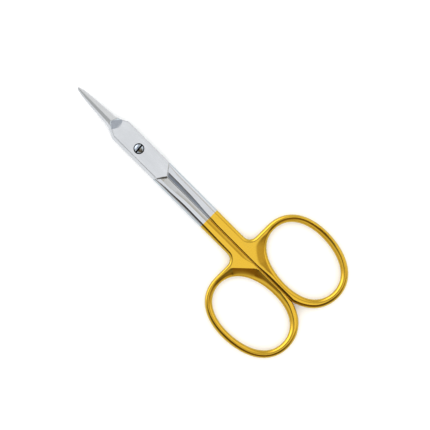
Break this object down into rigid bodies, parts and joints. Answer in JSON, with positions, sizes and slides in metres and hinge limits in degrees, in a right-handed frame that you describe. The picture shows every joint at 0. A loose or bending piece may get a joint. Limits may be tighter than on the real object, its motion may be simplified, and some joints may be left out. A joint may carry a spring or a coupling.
{
  "type": "nail scissors",
  "caption": "Fine-pointed nail scissors: lapped steel halves with gold-plated shanks and oval finger rings, turning on a slotted pivot screw.",
  "frame": {"origin": "on the pivot axis, where it meets the plane that the scissors' back lies on", "axes": "+Z along the pivot axis and out of the screw head, +Y to the blade tips, +X to the right seen from the front"},
  "size_m": [0.0404, 0.09, 0.0035],
  "materials": {
    "polished_steel": "polished stainless steel, satin on the flats of the joint",
    "gold_plate": "bright gold plating over the polished steel of the handles",
    "screw_steel": "bright domed steel screw head"
  },
  "bodies": {
    "back": {"back_half": "polished_steel", "pivot_screw": "screw_steel"},
    "front": {"front_half": "polished_steel"}
  },
  "joints": [
    {"name": "pivot", "type": "hinge", "parent": "back", "child": "front", "pos_m": [0, 0, 0.0016], "axis": [0, 0, -1], "range_deg": [0, 145]}
  ]
}
